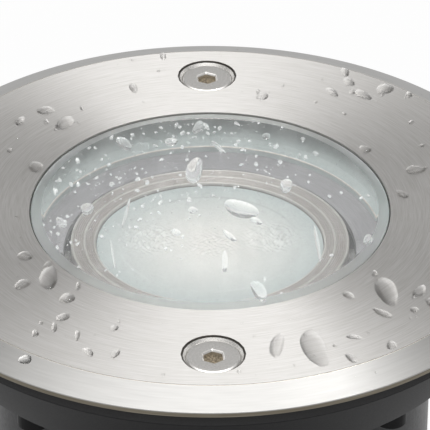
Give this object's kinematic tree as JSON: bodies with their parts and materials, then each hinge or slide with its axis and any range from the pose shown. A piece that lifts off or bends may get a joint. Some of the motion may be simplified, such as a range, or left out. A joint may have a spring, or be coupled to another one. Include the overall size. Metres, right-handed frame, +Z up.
{
  "type": "in-ground well light",
  "caption": "Round recessed ground light: bevelled steel cover ring flush round a stepped glass, black collar and pot, lamp in a tilting cradle.",
  "frame": {"origin": "centre of the pot's flat base, under the middle of the cover", "axes": "+Z up, from the base to the cover ring; +Y towards the cable gland; the two cover screws lie on the Y axis, and the lamp tips about X"},
  "size_m": [0.15, 0.15, 0.12],
  "materials": {
    "ring_steel": "concentric brushed stainless steel with a satin bevel",
    "screw_steel": "turned stainless steel, satin",
    "washer_nylon": "natural nylon",
    "lens_glass": "clear toughened glass with a ground bevel",
    "seal_silicone": "black silicone",
    "gasket_rubber": "black moulded rubber",
    "collar_plastic": "black moulded glass-filled plastic",
    "insert_brass": "turned brass",
    "pot_paint": "black satin powder coat on die-cast aluminium",
    "fixing_steel": "zinc-plated steel",
    "trim_paint": "pale blue-grey satin coat",
    "shelf_paint": "warm grey satin coat",
    "cradle_alloy": "turned aluminium, warm grey",
    "bezel_alloy": "turned aluminium with fine ridges",
    "stirrup_steel": "pressed plated steel strip",
    "holder_ceramic": "glazed off-white ceramic",
    "contact_brass": "sprung brass strip",
    "lamp_lens_frosted": "frosted moulded lens with fine relief",
    "lamp_shell_white": "white moulded shell",
    "lamp_base_white": "white moulded base",
    "pin_brass": "nickel-plated brass",
    "block_plastic": "natural moulded plastic",
    "gland_nylon": "black moulded nylon"
  },
  "bodies": {
    "housing": {"mounting_collar": "collar_plastic", "threaded_inserts": "insert_brass", "pot": "pot_paint", "pot_screws": "fixing_steel", "main_gasket": "gasket_rubber", "trim_ring": "trim_paint", "lamp_shelf": "shelf_paint", "shelf_screws": "fixing_steel", "terminal_block": "block_plastic", "terminal_screws": "contact_brass", "block_fixing_screws": "fixing_steel", "earth_screw": "contact_brass", "earth_washer": "contact_brass", "gland_body": "gland_nylon", "gland_washer": "gasket_rubber", "gland_seal": "gasket_rubber", "gland_locknut": "gland_nylon"},
    "cover": {"cover_ring": "ring_steel", "glass_lens": "lens_glass", "glass_seal": "seal_silicone", "captive_washers": "washer_nylon"},
    "front_screw": {"cover_screw_front": "screw_steel"},
    "rear_screw": {"cover_screw_rear": "screw_steel"},
    "cradle": {"lamp_cradle": "cradle_alloy", "lamp_bezel": "bezel_alloy", "tilt_screws": "fixing_steel", "holder_stirrup": "stirrup_steel", "stirrup_rivets": "fixing_steel", "lamp_holder": "holder_ceramic", "holder_contacts": "contact_brass", "holder_screws": "fixing_steel"},
    "lamp": {"lamp_lens": "lamp_lens_frosted", "lamp_shell": "lamp_shell_white", "lamp_base": "lamp_base_white", "lamp_pins": "pin_brass"},
    "cable_gland_nut": {"gland_nut": "gland_nylon"}
  },
  "joints": [
    {"name": "cover_lift", "type": "slide", "parent": "housing", "child": "cover", "axis": [0, 0, 1], "range_m": [0, 0.05]},
    {"name": "front_screw_turn", "type": "hinge", "parent": "cover", "child": "front_screw", "pos_m": [0, -0.057, 0.1164], "axis": [0, 0, 1], "continuous": true},
    {"name": "rear_screw_turn", "type": "hinge", "parent": "cover", "child": "rear_screw", "pos_m": [0, 0.057, 0.1164], "axis": [0, 0, 1], "continuous": true},
    {"name": "lamp_tilt", "type": "hinge", "parent": "housing", "child": "cradle", "pos_m": [0, 0, 0.1001], "axis": [1, 0, 0], "range_deg": [-5, 10]},
    {"name": "lamp_twist", "type": "hinge", "parent": "cradle", "child": "lamp", "pos_m": [0, 0, 0.1001], "axis": [0, 0.0436, 0.999], "range_deg": [0, 35]},
    {"name": "gland_nut_turn", "type": "hinge", "parent": "housing", "child": "cable_gland_nut", "pos_m": [0, 0.06, 0.02], "axis": [0, 1, 0], "continuous": true}
  ]
}
